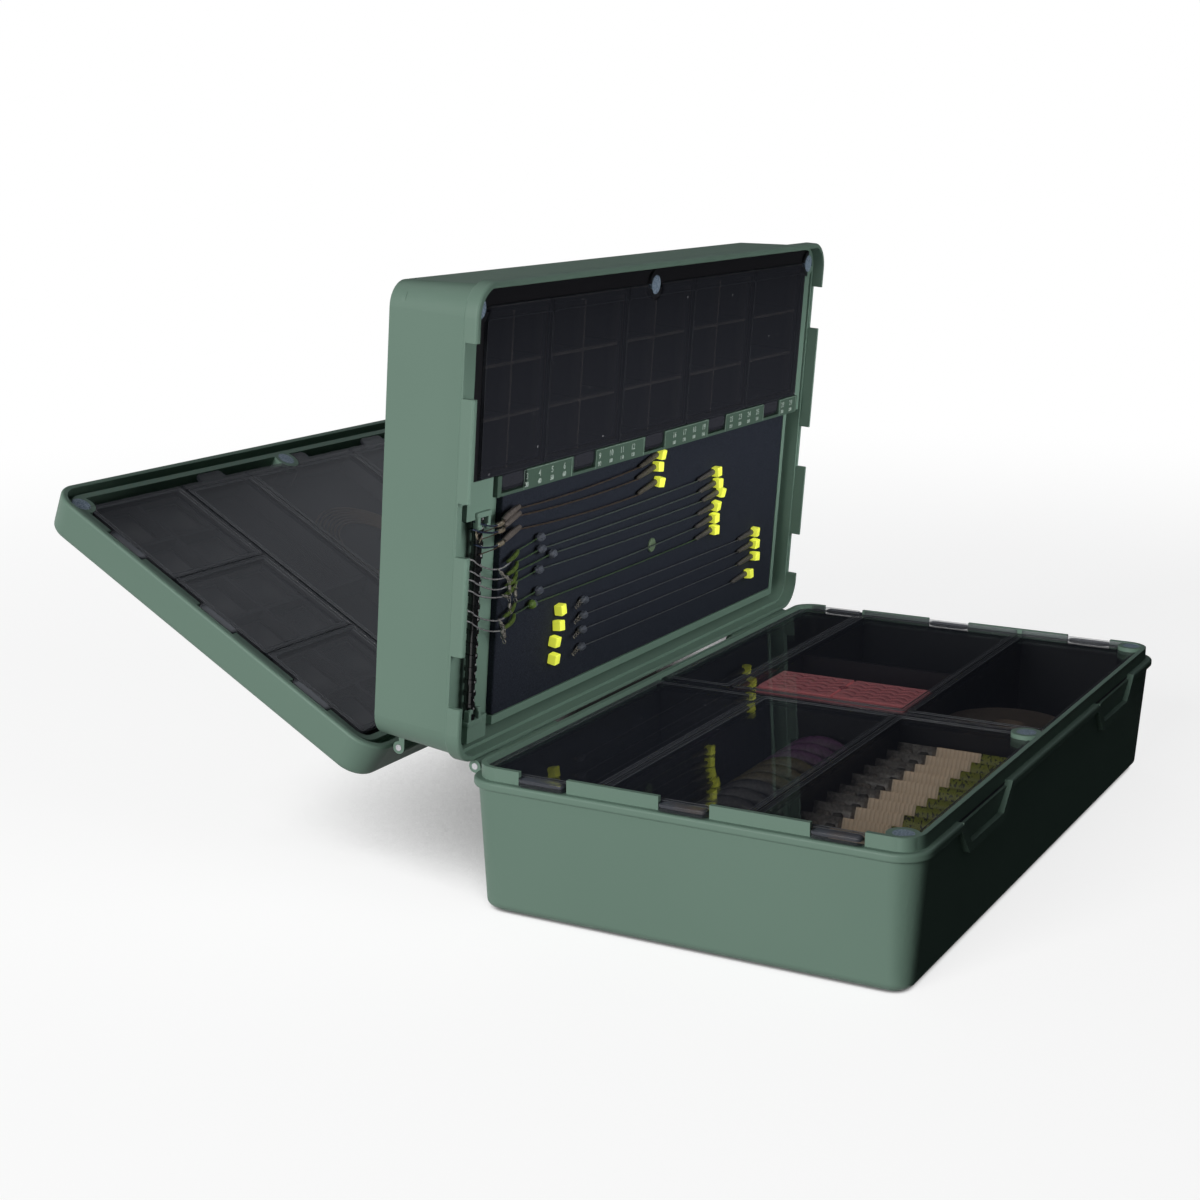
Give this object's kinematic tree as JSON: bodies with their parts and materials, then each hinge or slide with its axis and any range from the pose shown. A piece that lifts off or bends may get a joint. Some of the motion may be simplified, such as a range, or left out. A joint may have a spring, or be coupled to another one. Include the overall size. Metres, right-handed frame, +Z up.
{
  "type": "tackle box",
  "caption": "Three-storey fold-open tackle box: base tub, middle box with rig board and lid with tray, joined by two hinge lines and shut by magnets.",
  "frame": {"origin": "middle of the base's flat underside", "axes": "+X from the hinge side to the latch side of the base, +Y along the hinge lines, +Z up; drawn with the middle box and the lid folded open"},
  "size_m": [0.3942, 0.3286, 0.2433],
  "materials": {
    "green_plastic": "moulded matte, fine texture",
    "smoked_clear": "smoked clear, glossy",
    "steel_wire": "drawn wire",
    "magnet": "plated, slightly mottled",
    "clear_packet": "clear film over dark tackle",
    "tan_card": "ribbed tan sleeves",
    "olive_label": "printed card",
    "dark_spool": "black moulded",
    "olive_spool": "olive moulded",
    "purple_spool": "purple moulded",
    "red_case": "ribbed rubbery red",
    "tan_line": "wound line",
    "foam": "closed-cell foam",
    "rivet_green": "dark green, glossy",
    "black_plastic": "black moulded",
    "yellow_pin": "fluorescent yellow",
    "rig_line": "coated braid",
    "grey_bead": "matt tungsten putty grey"
  },
  "bodies": {
    "base": {"base_tub": "green_plastic", "base_hinge_pins": "steel_wire", "base_magnets": "magnet", "base_centre_wall": "green_plastic", "base_dividers_near": "green_plastic", "base_divider_far_left": "green_plastic", "base_divider_far_right": "green_plastic", "base_cross_divider": "green_plastic", "packets_clear": "clear_packet", "packets_tan": "tan_card", "packets_label": "olive_label", "spools_dark": "dark_spool", "spools_olive": "olive_spool", "spools_purple": "purple_spool", "hook_case": "red_case", "line_reel": "dark_spool", "reel_line": "tan_line"},
    "middle": {"middle_box": "green_plastic", "middle_back_magnets": "magnet", "lid_hinge_pins": "steel_wire", "middle_tray": "green_plastic", "middle_front_magnets": "magnet", "ruler_strip": "green_plastic", "board_carrier": "green_plastic", "rig_board": "foam", "board_rivet": "rivet_green", "hook_bar": "black_plastic", "bar_brackets": "green_plastic", "rig_pins": "yellow_pin", "rig_lines": "rig_line", "rig_beads": "grey_bead", "rig_sleeves": "black_plastic", "rig_hooks": "steel_wire"},
    "lid": {"lid_shell": "green_plastic", "lid_magnets": "magnet", "lid_tray": "green_plastic", "line_coil": "tan_line"},
    "base_flap_near_1": {"base_flap_near_1": "smoked_clear"},
    "base_flap_near_2": {"base_flap_near_2": "smoked_clear"},
    "base_flap_near_3": {"base_flap_near_3": "smoked_clear"},
    "base_flap_far_1": {"base_flap_far_1": "smoked_clear"},
    "base_flap_far_2": {"base_flap_far_2": "smoked_clear"},
    "base_flap_far_3": {"base_flap_far_3": "smoked_clear"},
    "tray_flap_1": {"tray_flap_1": "smoked_clear"},
    "tray_flap_2": {"tray_flap_2": "smoked_clear"},
    "tray_flap_3": {"tray_flap_3": "smoked_clear"},
    "tray_flap_4": {"tray_flap_4": "smoked_clear"},
    "tray_flap_5": {"tray_flap_5": "smoked_clear"},
    "lid_flap_near_1": {"lid_flap_near_1": "smoked_clear"},
    "lid_flap_near_2": {"lid_flap_near_2": "smoked_clear"},
    "lid_flap_near_3": {"lid_flap_near_3": "smoked_clear"},
    "lid_flap_far_1": {"lid_flap_far_1": "smoked_clear"},
    "lid_flap_far_2": {"lid_flap_far_2": "smoked_clear"},
    "lid_flap_far_3": {"lid_flap_far_3": "smoked_clear"},
    "lid_flap_strip_1": {"lid_flap_strip_1": "smoked_clear"},
    "lid_flap_strip_2": {"lid_flap_strip_2": "smoked_clear"},
    "lid_flap_strip_3": {"lid_flap_strip_3": "smoked_clear"}
  },
  "joints": [
    {"name": "middle_hinge", "type": "hinge", "parent": "base", "child": "middle", "pos_m": [-0.0955, 0, 0.05484], "axis": [0, 1, 0], "range_deg": [0, 86.3]},
    {"name": "lid_hinge", "type": "hinge", "parent": "middle", "child": "lid", "pos_m": [-0.13109, 0, 0.05714], "axis": [0, 1, 0], "range_deg": [0, 64.2]},
    {"name": "base_flap_near_1_hinge", "type": "hinge", "parent": "base", "child": "base_flap_near_1", "pos_m": [-0.062, -0.00645, 0.0564], "axis": [1, 0, 0], "range_deg": [-45, 0]},
    {"name": "base_flap_near_2_hinge", "type": "hinge", "parent": "base", "child": "base_flap_near_2", "pos_m": [-0.00505, -0.00645, 0.0564], "axis": [1, 0, 0], "range_deg": [-85, 0]},
    {"name": "base_flap_near_3_hinge", "type": "hinge", "parent": "base", "child": "base_flap_near_3", "pos_m": [0.05695, -0.00645, 0.0564], "axis": [1, 0, 0], "range_deg": [-85, 0]},
    {"name": "base_flap_far_1_hinge", "type": "hinge", "parent": "base", "child": "base_flap_far_1", "pos_m": [-0.07165, -0.00305, 0.0564], "axis": [-1, 0, 0], "range_deg": [-45, 0]},
    {"name": "base_flap_far_2_hinge", "type": "hinge", "parent": "base", "child": "base_flap_far_2", "pos_m": [-0.0144, -0.00305, 0.0564], "axis": [-1, 0, 0], "range_deg": [-85, 0]},
    {"name": "base_flap_far_3_hinge", "type": "hinge", "parent": "base", "child": "base_flap_far_3", "pos_m": [0.05725, -0.00305, 0.0564], "axis": [-1, 0, 0], "range_deg": [-85, 0]},
    {"name": "tray_flap_1_hinge", "type": "hinge", "parent": "middle", "child": "tray_flap_1", "pos_m": [-0.08925, -0.1249, 0.23231], "axis": [0, 1, 0], "range_deg": [-95, 0]},
    {"name": "tray_flap_2_hinge", "type": "hinge", "parent": "middle", "child": "tray_flap_2", "pos_m": [-0.08925, -0.06815, 0.23231], "axis": [0, 1, 0], "range_deg": [-95, 0]},
    {"name": "tray_flap_3_hinge", "type": "hinge", "parent": "middle", "child": "tray_flap_3", "pos_m": [-0.08925, -0.00455, 0.23231], "axis": [0, 1, 0], "range_deg": [-95, 0]},
    {"name": "tray_flap_4_hinge", "type": "hinge", "parent": "middle", "child": "tray_flap_4", "pos_m": [-0.08925, 0.05945, 0.23231], "axis": [0, 1, 0], "range_deg": [-95, 0]},
    {"name": "tray_flap_5_hinge", "type": "hinge", "parent": "middle", "child": "tray_flap_5", "pos_m": [-0.08925, 0.121, 0.23231], "axis": [0, 1, 0], "range_deg": [-95, 0]},
    {"name": "lid_flap_near_1_hinge", "type": "hinge", "parent": "lid", "child": "lid_flap_near_1", "pos_m": [-0.16968, -0.09295, 0.07473], "axis": [0.8704, 0, -0.4924], "range_deg": [-20, 0]},
    {"name": "lid_flap_near_2_hinge", "type": "hinge", "parent": "lid", "child": "lid_flap_near_2", "pos_m": [-0.21603, -0.09295, 0.10095], "axis": [0.8704, 0, -0.4924], "range_deg": [-90, 0]},
    {"name": "lid_flap_near_3_hinge", "type": "hinge", "parent": "lid", "child": "lid_flap_near_3", "pos_m": [-0.26216, -0.09295, 0.12705], "axis": [0.8704, 0, -0.4924], "range_deg": [-90, 0]},
    {"name": "lid_flap_far_1_hinge", "type": "hinge", "parent": "lid", "child": "lid_flap_far_1", "pos_m": [-0.16968, 0.08545, 0.07473], "axis": [-0.8704, 0, 0.4924], "range_deg": [-20, 0]},
    {"name": "lid_flap_far_2_hinge", "type": "hinge", "parent": "lid", "child": "lid_flap_far_2", "pos_m": [-0.21603, 0.08545, 0.10095], "axis": [-0.8704, 0, 0.4924], "range_deg": [-90, 0]},
    {"name": "lid_flap_far_3_hinge", "type": "hinge", "parent": "lid", "child": "lid_flap_far_3", "pos_m": [-0.26216, 0.08545, 0.12705], "axis": [-0.8704, 0, 0.4924], "range_deg": [-90, 0]},
    {"name": "lid_flap_strip_1_hinge", "type": "hinge", "parent": "lid", "child": "lid_flap_strip_1", "pos_m": [-0.14744, -0.06875, 0.06214], "axis": [0, -1, 0], "range_deg": [-60, 0]},
    {"name": "lid_flap_strip_2_hinge", "type": "hinge", "parent": "lid", "child": "lid_flap_strip_2", "pos_m": [-0.14744, -0.00425, 0.06214], "axis": [0, -1, 0], "range_deg": [-60, 0]},
    {"name": "lid_flap_strip_3_hinge", "type": "hinge", "parent": "lid", "child": "lid_flap_strip_3", "pos_m": [-0.14744, 0.06075, 0.06214], "axis": [0, -1, 0], "range_deg": [-60, 0]}
  ]
}
